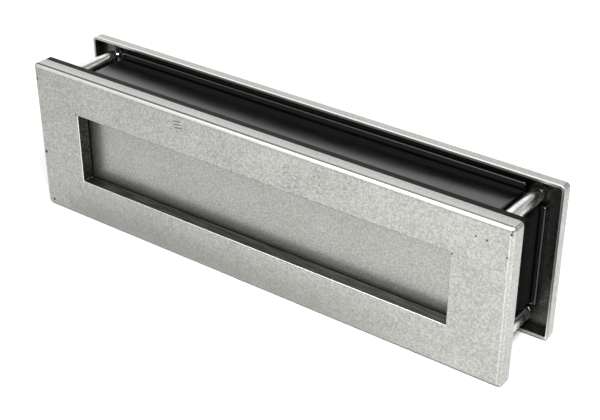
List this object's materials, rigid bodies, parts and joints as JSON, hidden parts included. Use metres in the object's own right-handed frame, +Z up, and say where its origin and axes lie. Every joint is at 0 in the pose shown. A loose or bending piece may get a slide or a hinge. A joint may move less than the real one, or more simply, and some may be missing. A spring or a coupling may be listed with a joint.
{
  "type": "letter plate",
  "caption": "Through-door letter plate: two rectangular pewter plates with hinged flaps, joined by a black telescopic letter sleeve, threaded posts and slotted machine screws.",
  "frame": {"origin": "bottom centre of the whole letter plate: middle of its length and depth, on the bottom edge of the outer plate", "axes": "+X along the plate to the right as seen from the street, +Y from the street through the door into the room, +Z up"},
  "size_m": [0.315, 0.057, 0.092],
  "materials": {
    "outer_plate": "pewter patina, satin, fine mottled grain",
    "outer_flap": "pewter patina, satin",
    "inner_plate": "pewter patina, brushed edges",
    "inner_flap": "pewter patina, satin",
    "outer_sleeve": "satin black moulding",
    "inner_sleeve": "satin black moulding",
    "pin": "zinc plated",
    "clip": "spring steel",
    "spring": "spring wire",
    "post": "turned and zinc plated",
    "screw": "zinc plated, slotted head"
  },
  "bodies": {
    "outer_assembly": {"outer_plate": "outer_plate", "outer_sleeve": "outer_sleeve", "outer_flap_pin": "pin", "outer_pin_clip_left": "clip", "outer_pin_clip_right": "clip", "outer_flap_spring_left": "spring", "outer_flap_spring_right": "spring", "sleeve_post_top_left": "post", "sleeve_post_top_right": "post", "sleeve_post_bottom_left": "post", "sleeve_post_bottom_right": "post"},
    "inner_assembly": {"inner_plate": "inner_plate", "inner_sleeve": "inner_sleeve", "inner_flap_pin_left": "pin", "inner_flap_pin_right": "pin", "fixing_screw_top_left": "screw", "fixing_screw_top_right": "screw", "fixing_screw_bottom_left": "screw", "fixing_screw_bottom_right": "screw"},
    "outer_flap": {"outer_flap": "outer_flap"},
    "inner_flap": {"inner_flap": "inner_flap"}
  },
  "joints": [
    {"name": "outer_flap_hinge", "type": "hinge", "parent": "outer_assembly", "child": "outer_flap", "pos_m": [0, -0.0133, 0.072], "axis": [1, 0, 0], "range_deg": [0, 45], "stiffness_Nm_per_rad": 0.05, "springref_deg": -28.65, "deforming": ["outer_flap_spring_left", "outer_flap_spring_right"]},
    {"name": "inner_flap_hinge", "type": "hinge", "parent": "inner_assembly", "child": "inner_flap", "pos_m": [0, 0.0248, 0.0641], "axis": [1, 0, 0], "range_deg": [0, 90]},
    {"name": "door_thickness_slide", "type": "slide", "parent": "outer_assembly", "child": "inner_assembly", "axis": [0, 1, 0], "range_m": [0, 0.024]}
  ]
}
